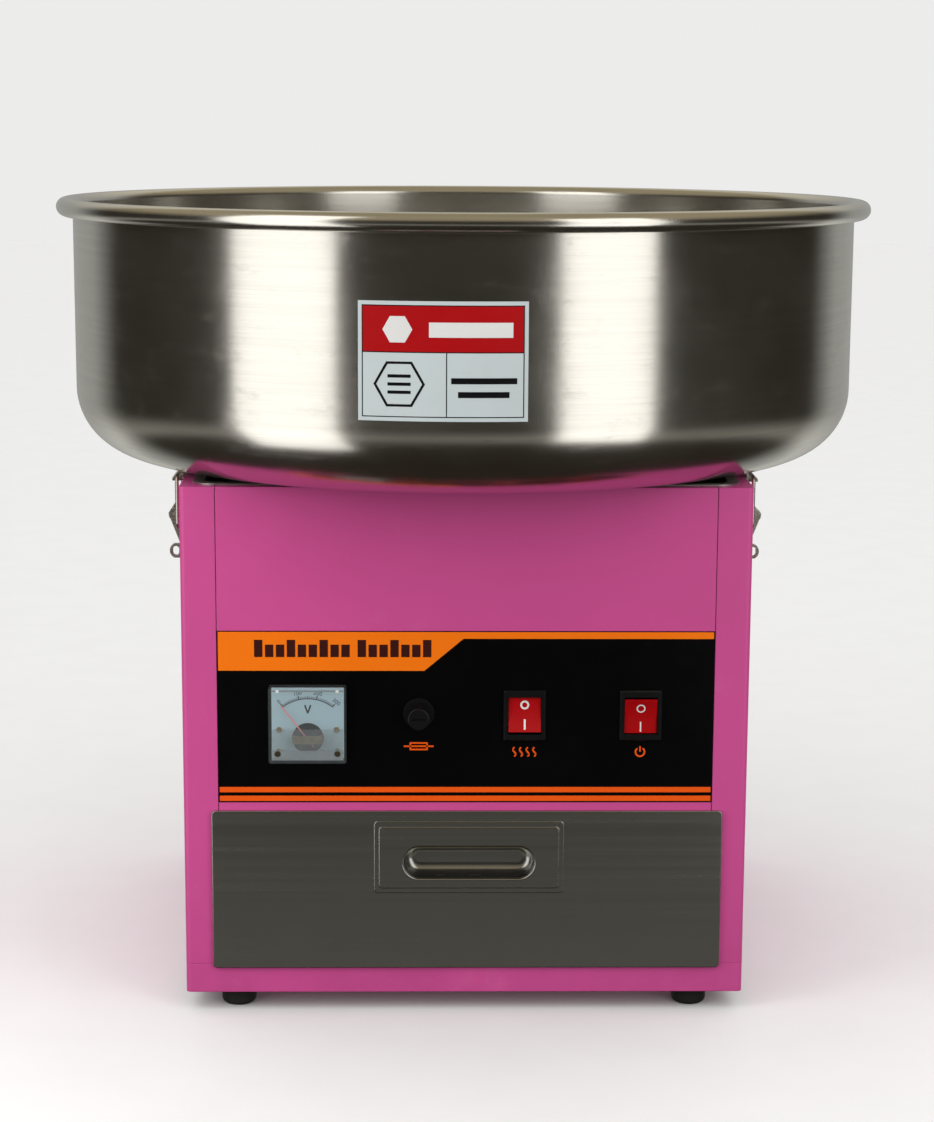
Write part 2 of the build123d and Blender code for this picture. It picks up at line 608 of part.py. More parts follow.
# ---------------------------------------------------------------- rocker switches
BEZEL = (25.5, 31.0)
ROCKER_WINDOW = (20.0, 22.8)
ROCKER_TILT = 9.0
ROCKER_PIVOT = FACE + 1.8


def switch_housing(x, z):
    body = upright(RectangleRounded(*BEZEL, 1.2), x, z, FACE - 2.3, FACE)
    body = chamfer(body.edges().group_by(Axis.Y)[0], 0.8)
    body += upright(Rectangle(21.8, 27.4), x, z, FACE, FACE + 20)
    body -= upright(Rectangle(*ROCKER_WINDOW), x, z, FACE - 5, FACE + 13)
    return body - rod(1.56, (x - 12, ROCKER_PIVOT, z), (x + 12, ROCKER_PIVOT, z))


def rocker(x, z, tilt):
    """The rocker, tilted about its pivot: a positive tilt presses the top end in."""
    outline = [(-4, 10.4), (-2, 10.6), (5, 5), (5, -5), (-2, -10.6), (-4, -10.4)]
    face = ThreePointArc((-4, -10.4), (-3.0, 0), (-4, 10.4))
    side = Plane(origin=(-9.7, 0, 0), x_dir=(0, 1, 0), z_dir=(1, 0, 0))
    solid = side * extrude(make_face([*Polyline(*outline).edges(), *face.edges()]), 19.4)
    solid += rod(1.5, (-10.6, 0, 0), (10.6, 0, 0))
    return Pos(x, ROCKER_PIVOT, z) * Rot(-tilt, 0, 0) * solid


def switches():
    """Housings and rockers; returns the brass blades behind them."""
    save("switch_housings", switch_housing(*HEAT), switch_housing(*POWER))
    save("heat_rocker", rocker(*HEAT, ROCKER_TILT))
    save("power_rocker", rocker(*POWER, -ROCKER_TILT))
    blades = []
    for x, z in (HEAT, POWER):
        for drop in (-9, 0, 9):
            blades.append(block((x - 3.2, x + 3.2), (FACE + 20, FACE + 28), (z + drop - 0.4, z + drop + 0.4)))
    return blades


def control_decal():
    """The printed plate that frames the controls."""
    low, high = 132.0, 237.5
    decal = block((-POST_X + SEAM, POST_X - SEAM), (FACE, FRONT), (low, high))
    for hole in control_cutouts():
        decal -= hole
    return decal


# ---------------------------------------------------------------- latches
LEVER_PIVOT = (BODY + 6.5, 300.0)
BAIL_PIVOT = (BODY + 5.0, 292.5)
BAIL_TOP = 324.3
WIRE = 1.2
WIRE_Y = 18.0
LEVER_HALF = 13.0
PIN = 1.5
BASE_Z = (266.0, 313.0)
EAR_Z = (297.0, 301.2)
EAR_Y = (8.6, 9.8)
CATCH_Z = (320.9, 321.9)   # the catch's ledge that the bail's crossbar pulls on


def latch_base():
    """Plate with two ears for the lever's pin, drawn on the right side at the middle of the depth."""
    px, pz = LEVER_PIVOT
    plate = block((BODY, BODY + 1.4), (-11, 11), BASE_Z)
    for side in (-1, 1):
        near, far = sorted(side * y for y in EAR_Y)
        plate += block((BODY, px + 0.4), (near, far), EAR_Z)
        plate += rod(3, (px, near, pz), (px, far, pz))
    plate -= rod(PIN + 0.05, (px, -20, pz), (px, 20, pz))
    for z in LATCH_RIVET_Z:
        plate -= rod(SCREW_HOLE, (BODY - 1, 0, z), (BODY + 3, 0, z))
    return plate


def latch_staple():
    """Padlock loop that stands through the lever's slot."""
    root = BODY + 1.4
    tip = BODY + 11.8
    low, high = 271.0, 280.0
    corners = Polyline((tip - 3, high), (root, high), (root, low), (tip - 3, low))
    nose = ThreePointArc((tip - 3, low), (tip, (low + high) / 2), (tip - 3, high))
    eye = Pos(tip - 3.9, (low + high) / 2) * SlotOverall(5.6, 3.8, rotation=90)
    return upright(make_face([*corners.edges(), *nose.edges()]) - eye, 0, 0, -1, 1)


def latch_lever():
    """Channel-shaped lever: two cheeks round the pin, a sloping cover and a slotted tongue."""
    px, pz = LEVER_PIVOT
    knuckle = 4.3
    cover = 1.1
    tongue = BODY + 2.0
    foot_z = 283.0
    cheek = [(px - 2.6, pz - 3.4), (px + knuckle, pz), (tongue + 2.4, foot_z),
             (tongue, foot_z - 2), (tongue, foot_z), (px - 4.4, pz - 10)]
    cheek_face = make_face(Polyline(*cheek, close=True)) + Pos(px, pz) * Circle(knuckle)
    lid = [(px + knuckle, pz + 1.2), (px + knuckle - cover, pz + 1.2), (px + knuckle - cover, pz),
           (tongue + 1.2, foot_z), (tongue + 2.4, foot_z), (px + knuckle, pz)]
    lever = upright(make_face(Polyline(*lid, close=True)), 0, 0, -LEVER_HALF, LEVER_HALF)
    for side in (-1, 1):
        wall = sorted((side * LEVER_HALF, side * (LEVER_HALF - 1.4)))
        lever += upright(cheek_face, 0, 0, *wall)
    lever += block((tongue, tongue + 1.2), (-8, 8), (BASE_Z[0], foot_z + 0.6))
    lever -= block((tongue - 1, tongue + 3), (-1.8, 1.8), (268.5, 282.2))
    lever -= rod(PIN + 0.08, (px, -20, pz), (px, 20, pz))
    bx, bz = BAIL_PIVOT
    return lever - rod(WIRE + 0.08, (bx, -20, bz), (bx, 20, bz))


def latch_bail():
    """Bent wire loop: two stubs in the lever, two legs and a rounded crossbar."""
    bx, bz = BAIL_PIVOT
    bend = 4.0
    path = FilletPolyline((bx, 10.5, bz), (bx, WIRE_Y, bz), (bx, WIRE_Y, BAIL_TOP), (bx, -WIRE_Y, BAIL_TOP),
                          (bx, -WIRE_Y, bz), (bx, -10.5, bz), radius=bend)
    section = Plane(origin=(bx, 10.5, bz), z_dir=(0, 1, 0)) * Circle(WIRE)
    return sweep(section, path=path)


def bowl_catch():
    """Hook plate on the bowl's underside that the bail's crossbar pulls on."""
    inner = BODY + 1.2
    outer = BODY + 8.2
    half = (-14, 14)
    ledge = CATCH_Z[0]
    catch = block((BODY - 12, inner + 1.2), half, (BOWL_BOTTOM - 1.1, BOWL_BOTTOM))
    catch += block((inner, inner + 1.2), half, (ledge, BOWL_BOTTOM))
    catch += block((inner, outer), half, CATCH_Z)
    return catch + block((outer - 1, outer), half, (ledge, ledge + 1.7))


def latch_rivets():
    """Domed rivets that hold a base to the side panel."""
    rivets = []
    for z in LATCH_RIVET_Z:
        head = rod(3.4, (BODY + 1.4, 0, z), (BODY + 2.6, 0, z))
        rivets.append(head + rod(SCREW_HOLE - 0.05, (BODY - 2.5, 0, z), (BODY + 1.4, 0, z)))
    return rivets


def place(shape, side, end):
    """Copy a right-hand latch piece to a side (+1 right) and an end (+1 rear)."""
    placed = Pos(0, end * LATCH_Y, 0) * shape
    return placed if side > 0 else mirror(placed, Plane.YZ)


def latches():
    corners = [(side, end) for side in (-1, 1) for end in (-1, 1)]
    names = {-1: ("left", "front"), 1: ("right", "rear")}
    px, pz = LEVER_PIVOT
    reach = LEVER_HALF + 0.8
    pin = rod(PIN, (px, -reach, pz), (px, reach, pz))
    plates = (latch_base(), latch_staple())
    save("latch_bases", *[place(piece, *corner) for corner in corners for piece in plates])
    fasteners = (pin, *latch_rivets())
    save("latch_fasteners", *[place(piece, *corner) for corner in corners for piece in fasteners])
    save("bowl_catches", *[place(bowl_catch(), *corner) for corner in corners])
    lever = latch_lever()
    bail = latch_bail()
    for side, end in corners:
        name = f"{names[end][1]}_{names[side][0]}"
        save(f"latch_lever_{name}", place(lever, side, end))
        save(f"latch_bail_{name}", place(bail, side, end))


# ---------------------------------------------------------------- supply
GLAND_BORE = 3.75


def cable_gland():
    """Gland that the supply cable would enter by, with its seal, dome nut and lock nut."""
    x, z = GLAND

    def tube(outer, inner, low, high):
        return rod(outer, (x, low, z), (x, high, z)) - rod(inner, (x, low - 1, z), (x, high + 1, z))

    flange = hexagon(12.5, (x, BODY, z), (x, BODY + 4, z)) - rod(6.2, (x, 150, z), (x, 200, z))
    save("gland_seal", tube(6.1, GLAND_BORE, 160, BODY + 14))
    nut = hexagon(12, (x, BODY + 4.2, z), (x, BODY + 15, z)) + rod(9.5, (x, BODY + 15, z), (x, BODY + 20, z))
    nut = fillet(nut.edges().group_by(Axis.Y)[-1], 2.5)
    nut -= rod(8.9, (x, BODY + 3, z), (x, BODY + 14.2, z)) + rod(4.4, (x, BODY, z), (x, BODY + 30, z))
    lock_nut = hexagon(12, (x, 163.5, z), (x, BODY - SHEET, z)) - rod(8.85, (x, 150, z), (x, 180, z))
    save("cable_gland", tube(8.8, 6.2, 158, BODY + 14) + flange, nut, lock_nut)


def terminal_block(blades):
    """The block that the supply is wired to, and every brass terminal in the cabinet."""
    base = SHELF_Z + SHEET
    body = block((-128, -72), (105, 125), (base, base + 15))
    screws = []
    for index in range(6):
        x = -123 + 9.2 * index
        body -= block((x - 1.9, x + 1.9), (104, 112), (base + 4, base + 7.8))
        body -= rod(2.6, (x, 118, base + 8), (x, 118, base + 16))
        screws.append(rod(2.4, (x, 118, base + 8.2), (x, 118, base + 13)))
    save("terminal_block", body)
    save("electrical_terminals", *screws, *blades)


feet(cabinet())
drawer()
bowl_parts()
motor()
slip_rings()
spinner()
save("control_decal", control_decal())
meter()
fuse_holder()
terminal_blades = switches()
latches()
cable_gland()
terminal_block(terminal_blades)
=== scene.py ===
"""Studio picture of a table-top cotton candy machine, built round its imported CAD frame.

Metres, +Z up, front at -Y. Sizes that are easier to read in millimetres are multiplied by MM.
Printed marks are thin raised pieces: each is a list of flat faces drawn in (across, up), laid on a surface.
"""
from math import atan2, cos, pi, radians, sin, sqrt

import bmesh
import bpy
from mathutils import Matrix, Vector


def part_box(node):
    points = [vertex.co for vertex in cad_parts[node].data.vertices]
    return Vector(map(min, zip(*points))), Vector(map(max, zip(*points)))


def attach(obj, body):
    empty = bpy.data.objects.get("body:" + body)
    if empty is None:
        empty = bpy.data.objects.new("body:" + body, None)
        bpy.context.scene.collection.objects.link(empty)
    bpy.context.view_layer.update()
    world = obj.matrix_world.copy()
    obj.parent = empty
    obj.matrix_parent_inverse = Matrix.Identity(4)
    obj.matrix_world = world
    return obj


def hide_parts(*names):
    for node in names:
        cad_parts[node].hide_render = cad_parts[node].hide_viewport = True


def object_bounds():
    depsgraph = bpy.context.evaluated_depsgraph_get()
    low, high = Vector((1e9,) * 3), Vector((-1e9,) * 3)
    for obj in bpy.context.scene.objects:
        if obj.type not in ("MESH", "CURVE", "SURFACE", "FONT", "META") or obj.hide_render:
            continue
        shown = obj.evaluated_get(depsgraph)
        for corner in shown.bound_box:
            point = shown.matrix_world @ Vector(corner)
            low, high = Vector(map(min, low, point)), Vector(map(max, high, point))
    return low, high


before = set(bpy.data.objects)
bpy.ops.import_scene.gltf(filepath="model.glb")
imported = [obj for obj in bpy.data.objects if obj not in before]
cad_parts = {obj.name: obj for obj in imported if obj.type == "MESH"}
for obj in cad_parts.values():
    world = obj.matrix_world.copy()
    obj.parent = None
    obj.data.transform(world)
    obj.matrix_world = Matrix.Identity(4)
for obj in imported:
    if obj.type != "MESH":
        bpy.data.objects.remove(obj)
cad_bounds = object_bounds()

MM = 0.001
INK = 0.08 * MM            # how proud a printed mark stands


# ---------------------------------------------------------------- node trees
class Tree:
    """A material's node tree, with short calls for the patterns that every finish here uses."""

    def __init__(self, name, **fixed):
        self.material = bpy.data.materials.new(name)
        self.material.use_nodes = True
        self.nodes = self.material.node_tree.nodes
        self.links = self.material.node_tree.links
        self.shader = self.nodes["Principled BSDF"]
        self.place = self.nodes.new("ShaderNodeTexCoord").outputs["Object"]
        for socket, value in fixed.items():
            self.shader.inputs[socket.replace("_", " ")].default_value = value

    def add(self, kind, inputs=(), **settings):
        node = self.nodes.new(kind)
        for name, value in settings.items():
            setattr(node, name, value)
        for key, value in dict(inputs).items():
            if isinstance(value, bpy.types.NodeSocket):
                self.links.new(value, node.inputs[key])
            else:
                node.inputs[key].default_value = value
        return node

    def math(self, operation, first, second=0.0):
        return self.add("ShaderNodeMath", {0: first, 1: second}, operation=operation).outputs[0]

    def noise(self, size, detail=3.0, stretch=(1, 1, 1), place=None, rough=0.55):
        """Noise with features of about that size in metres, drawn out along the stretched axes."""
        scale = [1 / (size * part) for part in stretch]
        mapped = self.add("ShaderNodeMapping", {"Vector": place or self.place, "Scale": scale})
        inputs = {"Vector": mapped.outputs[0], "Scale": 1.0, "Detail": detail, "Roughness": rough}
        return self.add("ShaderNodeTexNoise", inputs).outputs["Fac"]

    def remap(self, value, low, high, to_low, to_high):
        inputs = {0: value, 1: low, 2: high, 3: to_low, 4: to_high}
        return self.add("ShaderNodeMapRange", inputs).outputs[0]

    def vary(self, noise, low, high):
        """The noise spread from low to high; most of its own values lie between 0.3 and 0.7."""
        return self.remap(noise, 0.3, 0.7, low, high)

    def scaled(self, value, amount):
        return self.math("MULTIPLY", value, amount)

    def mix(self, share, first, second):
        node = self.add("ShaderNodeMix", {0: share, 6: first, 7: second}, data_type="RGBA")
        return node.outputs[2]

    def set(self, **sockets):
        for name, value in sockets.items():
            target = self.shader.inputs[name.replace("_", " ")]
            if isinstance(value, bpy.types.NodeSocket):
                self.links.new(value, target)
            else:
                target.default_value = value

    def bump(self, height, depth, strength=1.0, under=None):
        """Relief of that depth in metres; under is a relief that this one lies on."""
        inputs = {"Height": height, "Distance": depth, "Strength": strength}
        if under is not None:
            inputs["Normal"] = under
        return self.add("ShaderNodeBump", inputs).outputs["Normal"]

    def soft_edge(self, radius):
        """Normals rounded over the edges, so that folded and moulded corners catch the light."""
        return self.add("ShaderNodeBevel", {"Radius": radius}, samples=4).outputs[0]


def shade(colour, amount):
    """The colour lightened (above 1) or darkened, as RGBA."""
    return (*[min(1.0, part * amount) for part in colour[:3]], 1.0)


def blotched(tree, colour, size, contrast):
    """A colour that drifts a little lighter and darker over the surface."""
    drift = tree.vary(tree.noise(size, 4), 0.0, 1.0)
    return tree.mix(drift, shade(colour, 1 - contrast), shade(colour, 1 + contrast))


def scuffs(tree, size, low, high):
    """Sparse worn patches, 0 to 1."""
    return tree.remap(tree.noise(size, 8, rough=0.75), low, high, 0.0, 1.0)


# ---------------------------------------------------------------- finishes
MOULDED_EDGE = 0.3 * MM    # how far normals are rounded over an edge
BRUSHED_EDGE = 0.45 * MM
FOLDED_EDGE = 0.8 * MM


def coated(name, colour, roughness, grain, depth, contrast=0.05, worn=None, **fixed):
    """Paint, plastic, rubber or ink: drifting colour, fine texture in relief and a little wear."""
    tree = Tree(name, **fixed)
    wear = scuffs(tree, 30 * MM, 0.62, 0.78)
    tint = blotched(tree, colour, 50 * MM, contrast)
    worn_tint = worn or shade(colour, 1.5)
    tree.set(Base_Color=tree.mix(tree.scaled(wear, 0.35), tint, worn_tint))
    rough = tree.vary(tree.noise(12 * MM, 5), roughness * 0.88, roughness * 1.12)
    tree.set(Roughness=tree.math("ADD", rough, tree.scaled(wear, 0.08)))
    tree.set(Normal=tree.bump(tree.noise(grain, 3), depth, under=tree.soft_edge(MOULDED_EDGE)))
    return tree.material


def brushed(name, colour, roughness, stretch, depth=3e-6, contrast=0.06, smears=0.06, **fixed):
    """Metal with fine and wider parallel lines, drawn out along the stretched axes, and faint smears."""
    tree = Tree(name, Metallic=1.0, **fixed)
    line = 0.35 * MM
    fine = tree.noise(line, 2, stretch=stretch)
    wide = tree.noise(line * 8, 3, stretch=stretch)
    smear = tree.remap(tree.noise(35 * MM, 5), 0.35, 0.65, 0.0, 1.0)
    tone = tree.vary(tree.math("ADD", tree.scaled(fine, 0.5), tree.scaled(wide, 0.5)), 0.0, 1.0)
    tint = tree.mix(tone, shade(colour, 1 - contrast), shade(colour, 1 + contrast))
    tree.set(Base_Color=tree.mix(tree.scaled(smear, 0.25), tint, shade(colour, 0.85)))
    rough = tree.vary(wide, roughness * 0.85, roughness * 1.15)
    tree.set(Roughness=tree.math("ADD", rough, tree.scaled(smear, smears)))
    tree.set(Normal=tree.bump(fine, depth, under=tree.soft_edge(BRUSHED_EDGE)))
    return tree.material


def spun_steel(name, colour, roughness):
    """Steel spun about the machine's axis: lines run round it, and highlights spread across them."""
    tree = Tree(name, Metallic=1.0, Anisotropic=0.55, Anisotropic_Rotation=0.25)
    tangent = tree.add("ShaderNodeTangent", direction_type="RADIAL", axis="Z").outputs[0]
    parts = tree.add("ShaderNodeSeparateXYZ", {0: tree.place}).outputs
    squares = [tree.scaled(part, part) for part in (parts[0], parts[1])]
    radius = tree.math("SQRT", tree.math("ADD", *squares))
    profile = tree.math("ADD", radius, parts[2])
    place = tree.add("ShaderNodeCombineXYZ", {0: parts[0], 1: parts[1], 2: profile}).outputs[0]
    fine = tree.noise(0.3 * MM, 2, (260, 260, 1), place)
    bands = tree.noise(3.5 * MM, 3, (60, 60, 1), place)
    marks = tree.noise(10 * MM, 6, (2.2, 2.2, 1), place, rough=0.7)
    stain = tree.remap(marks, 0.58, 0.75, 0.0, 0.4)
    rubbed = tree.remap(marks, 0.55, 0.75, 0.0, 0.07)
    tone = tree.remap(tree.math("ADD", fine, bands), 0.7, 1.3, 0.0, 1.0)
    tint = tree.mix(tone, shade(colour, 0.93), shade(colour, 1.05))
    haze = tree.vary(tree.noise(60 * MM, 4), roughness * 0.9, roughness * 1.15)
    tree.set(Base_Color=tree.mix(stain, tint, shade(colour, 0.8)))
    tree.set(Roughness=tree.math("ADD", haze, rubbed))
    tree.set(Tangent=tangent, Normal=tree.bump(bands, 1.2e-5, 0.6, tree.bump(fine, 2.5e-6)))
    return tree.material


def powder_coat(name, colour):
    """Satin powder coat: orange peel, darker patches low down and rubbed patches."""
    tree = Tree(name, Specular_IOR_Level=0.42)
    height = tree.add("ShaderNodeSeparateXYZ", {0: tree.place}).outputs[2]
    ground = cad_bounds[0].z
    reach = tree.remap(height, ground + 12 * MM, ground + 75 * MM, 1.0, 0.0)
    # darker in patches towards the floor, fading out by 75 mm up
    low_darkening = tree.scaled(reach, tree.remap(tree.noise(20 * MM, 5), 0.35, 0.7, 0.0, 0.35))
    rubbed = tree.scaled(scuffs(tree, 50 * MM, 0.6, 0.8), 0.10)
    tint = tree.mix(low_darkening, blotched(tree, colour, 90 * MM, 0.03), shade(colour, 0.72))
    tree.set(Base_Color=tree.mix(rubbed, tint, (0.72, 0.42, 0.56, 1.0)))
    tree.set(Roughness=tree.vary(tree.noise(25 * MM, 4), 0.36, 0.44))
    peel = tree.bump(tree.noise(1.1 * MM, 2), 2.2e-5, under=tree.soft_edge(FOLDED_EDGE))
    tree.set(Normal=tree.bump(tree.noise(0.28 * MM, 2), 4e-6, under=peel))
    return tree.material


def clear_plastic(name, colour, share):
    """Moulded clear plastic: mostly see-through, with faint flow marks and small scratches."""
    tree = Tree(name, IOR=1.5)
    marks = scuffs(tree, 6 * MM, 0.55, 0.75)
    tree.set(Base_Color=blotched(tree, colour, 10 * MM, 0.05))
    tree.set(Alpha=tree.remap(marks, 0.0, 1.0, share, share * 1.5))
    tree.set(Roughness=tree.remap(marks, 0.0, 1.0, 0.08, 0.22))
    tree.set(Normal=tree.bump(tree.noise(4 * MM, 2), 6e-6))
    return tree.material


def heat_tinted(name):
    """Sheathed element that has run hot: straw, brown and blue tints over dull steel."""
    tree = Tree(name, Metallic=1.0)
    straw, brown, blue = (0.30, 0.22, 0.14, 1), (0.20, 0.11, 0.09, 1), (0.10, 0.11, 0.20, 1)
    band = tree.noise(18 * MM, 3)
    warm = tree.mix(tree.remap(band, 0.35, 0.55, 0, 1), straw, brown)
    tree.set(Base_Color=tree.mix(tree.remap(band, 0.55, 0.68, 0, 1), warm, blue))
    tree.set(Roughness=tree.vary(tree.noise(3 * MM, 5), 0.35, 0.6))
    tree.set(Normal=tree.bump(tree.noise(0.8 * MM, 3), 2e-5))
    return tree.material


def wound_iron(name):
    """Stator and rotor: stacked sheets as level lines, with copper showing in patches."""
    tree = Tree(name, Metallic=0.9)
    iron, copper = (0.22, 0.21, 0.20, 1), (0.55, 0.25, 0.12, 1)
    sheets = tree.noise(0.6 * MM, 1, (80, 80, 1))
    windings = tree.remap(tree.noise(12 * MM, 2, (1, 1, 0.4)), 0.48, 0.56, 0.0, 1.0)
    tree.set(Base_Color=tree.mix(windings, iron, copper))
    tree.set(Roughness=tree.vary(sheets, 0.32, 0.55))
    tree.set(Normal=tree.bump(sheets, 8e-5))
    return tree.material


ACROSS = (240, 1, 1)       # brushing that runs from side to side
ROUND = (30, 30, 1)        # turned marks on a piece standing upright
LEVEL = (8, 8, 1)          # short level marks of rolled and plated sheet

FINISHES = {
    "pink_paint": powder_coat("pink_paint", (0.64, 0.078, 0.30)),
    "bowl_steel": spun_steel("bowl_steel", (0.66, 0.645, 0.60), 0.20),
    "deck_steel": brushed("deck_steel", (0.50, 0.50, 0.48), 0.34, ACROSS),
    "drawer_steel": brushed("drawer_steel", (0.40, 0.395, 0.375), 0.23, ACROSS, depth=1e-6, contrast=0.05,
                            smears=0.02, Anisotropic=0.2),
    "zinc_steel": brushed("zinc_steel", (0.56, 0.57, 0.58), 0.42, LEVEL, contrast=0.09),
    "latch_steel": brushed("latch_steel", (0.66, 0.62, 0.55), 0.24, ROUND, contrast=0.08),
    "label_print": coated("label_print", (0.60, 0.67, 0.68), 0.45, 0.0006, 4e-6, 0.03, (0.5, 0.5, 0.48, 1),
                          Specular_IOR_Level=0.2),
    "decal_print": coated("decal_print", (0.0014, 0.0014, 0.002), 0.34, 0.0005, 6e-6, 0.2,
                          (0.006, 0.006, 0.007, 1), Specular_IOR_Level=0.1),
    "black_plastic": coated("black_plastic", (0.005, 0.005, 0.0055), 0.30, 0.0005, 8e-6, 0.15,
                            Specular_IOR_Level=0.3),
    "dial_face": coated("dial_face", (0.34, 0.48, 0.54), 0.5, 0.0008, 3e-6, 0.03),
    "clear_cover": clear_plastic("clear_cover", (0.62, 0.70, 0.72), 0.06),
    "needle_red": coated("needle_red", (0.75, 0.22, 0.20), 0.4, 0.0005, 3e-6, 0.05),
    "brass": brushed("brass", (0.62, 0.43, 0.16), 0.32, ROUND, contrast=0.12),
    "rocker_red": coated("rocker_red", (0.42, 0.003, 0.005), 0.26, 0.0008, 4e-6, 0.06, (0.35, 0.02, 0.02, 1),
                         Specular_IOR_Level=0.2),
    "fuse_glass": clear_plastic("fuse_glass", (0.8, 0.85, 0.85), 0.3),
    "rubber": coated("rubber", (0.012, 0.012, 0.011), 0.72, 0.0007, 3e-5, 0.2, (0.05, 0.047, 0.043, 1)),
    "aluminium": brushed("aluminium", (0.74, 0.74, 0.73), 0.33, ROUND, contrast=0.07),
    "motor_iron": coated("motor_iron", (0.10, 0.10, 0.11), 0.5, 0.0009, 3e-5, 0.12),
    "laminations": wound_iron("laminations"),
    "shaft_steel": brushed("shaft_steel", (0.58, 0.58, 0.58), 0.25, ROUND, contrast=0.06),
    "heater_metal": heat_tinted("heater_metal"),
    "screw_steel": brushed("screw_steel", (0.60, 0.59, 0.56), 0.30, ROUND, contrast=0.08),
    "white_nylon": coated("white_nylon", (0.74, 0.74, 0.69), 0.45, 0.0006, 6e-6, 0.04),
}
PRINT_SHINE = 0.15         # the specular level of every printed ink


def ink(name, colour, worn):
    """Matt screen-printed ink with a faint mottle."""
    return coated(name, colour, 0.40, 0.0005, 4e-6, 0.04, (*worn, 1), Specular_IOR_Level=PRINT_SHINE)


INKS = {
    "orange_ink": ink("orange_ink", (1.0, 0.195, 0.004), (0.8, 0.2, 0.03)),
    "line_ink": ink("line_ink", (0.92, 0.105, 0.005), (0.6, 0.12, 0.02)),
    "dark_ink": ink("dark_ink", (0.045, 0.008, 0.006), (0.10, 0.03, 0.02)),
    "black_ink": ink("black_ink", (0.006, 0.006, 0.007), (0.03, 0.03, 0.03)),
    "red_ink": ink("red_ink", (0.44, 0.003, 0.005), (0.35, 0.03, 0.03)),
    "white_ink": ink("white_ink", (0.80, 0.80, 0.78), (0.6, 0.6, 0.6)),
    "dial_ink": ink("dial_ink", (0.020, 0.015, 0.012), (0.06, 0.05, 0.045)),
    # painted shade: the colour of the dark discs in the meter's screw bores
    "bore_shade_ink": ink("bore_shade_ink", (0.045, 0.033, 0.018), (0.09, 0.07, 0.04)),
    "grey_frost": clear_plastic("grey_frost", (0.20, 0.215, 0.21), 0.36),
    "strip_frost": clear_plastic("strip_frost", (0.21, 0.235, 0.24), 0.85),
}


def brass_with_painted_shade(name):
    """Brass and dark iron of the meter's movement: bright at the dial, with painted shade, near black,
    further back in the case.
    """
    tree = Tree(name, Metallic=0.8)
    depth = tree.add("ShaderNodeSeparateXYZ", {0: tree.place}).outputs[1]
    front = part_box("meter_dial")[0].y
    # painted shade: from the dial's face back, the brass is painted near black as if in the case's shadow
    painted_shade_share = tree.remap(depth, front, front + 2 * MM, 0.0, 1.0)
    tint = blotched(tree, (0.45, 0.32, 0.14), 4 * MM, 0.2)
    painted_shade_colour = (0.012, 0.010, 0.008, 1)
    tree.set(Base_Color=tree.mix(painted_shade_share, tint, painted_shade_colour))
    tree.set(Roughness=tree.vary(tree.noise(2 * MM, 4), 0.3, 0.5))
    tree.set(Normal=tree.bump(tree.noise(0.6 * MM, 3), 1e-5))
    return tree.material


def dress_nodes():
    """Give every CAD node the finish of its record slot; the meter's movement has one of its own, with
    painted shade.
    """
    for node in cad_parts.values():
        for slot in node.material_slots:
            slot.material = FINISHES[slot.material.name.split(".")[0]]
    movement = brass_with_painted_shade("meter_movement")
    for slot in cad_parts["meter_movement"].material_slots:
        slot.material = movement


# ---------------------------------------------------------------- flat shapes: faces in (across, up)
def box_shape(left, low, right, high):
    return [[(left, low), (right, low), (right, high), (left, high)]]


def ring_shape(x, z, outer, inner, start=0.0, end=2 * pi, steps=40):
    """A ring or an arc band; angles run anticlockwise from the right."""
    turns = [start + (end - start) * index / steps for index in range(steps + 1)]
    rim = [[(x + r * cos(turn), z + r * sin(turn)) for r in (inner, outer)] for turn in turns]
    return [[a[0], a[1], b[1], b[0]] for a, b in zip(rim, rim[1:])]


def disc_shape(x, z, radius, steps):
    turns = [2 * pi * index / steps for index in range(steps)]
    return [[(x + radius * cos(turn), z + radius * sin(turn)) for turn in turns]]


def stroke_shape(points, width):
    """A line of even width through the points."""
    faces = []
    for (ax, az), (bx, bz) in zip(points, points[1:]):
        length = sqrt((bx - ax) ** 2 + (bz - az) ** 2)
        nx, nz = (az - bz) / length * width / 2, (bx - ax) / length * width / 2
        faces.append([(ax - nx, az - nz), (bx - nx, bz - nz), (bx + nx, bz + nz), (ax + nx, az + nz)])
    return faces


def frame_shape(left, low, right, high, width):
    """The outline of a box, drawn inwards."""
    shape = box_shape(left, low, right, low + width) + box_shape(left, high - width, right, high)
    shape += box_shape(left, low + width, left + width, high - width)
    return shape + box_shape(right - width, low + width, right, high - width)


def moved(shape, x, z, turn=0.0):
    """The shape turned anticlockwise about its own origin, then moved."""
    c, s = cos(turn), sin(turn)
    return [[(x + u * c - v * s, z + u * s + v * c) for u, v in face] for face in shape]


def text_shape(words, height):
    """Plain figures of about that height, centred on the origin."""
    curve = bpy.data.curves.new("figures", "FONT")
    curve.body = words
    curve.align_x = "CENTER"
    curve.align_y = "CENTER"
    curve.size = height * 1.42     # a font's size is more than the height of its figures
    curve.resolution_u = 3
    holder = bpy.data.objects.new("figures", curve)
    bpy.context.scene.collection.objects.link(holder)
    bpy.context.view_layer.update()
    mesh = bpy.data.meshes.new_from_object(holder.evaluated_get(bpy.context.evaluated_depsgraph_get()))
    shape = [[tuple(mesh.vertices[v].co.xy) for v in face.vertices] for face in mesh.polygons]
    bpy.data.objects.remove(holder)
    bpy.data.curves.remove(curve)
    bpy.data.meshes.remove(mesh)
    return shape


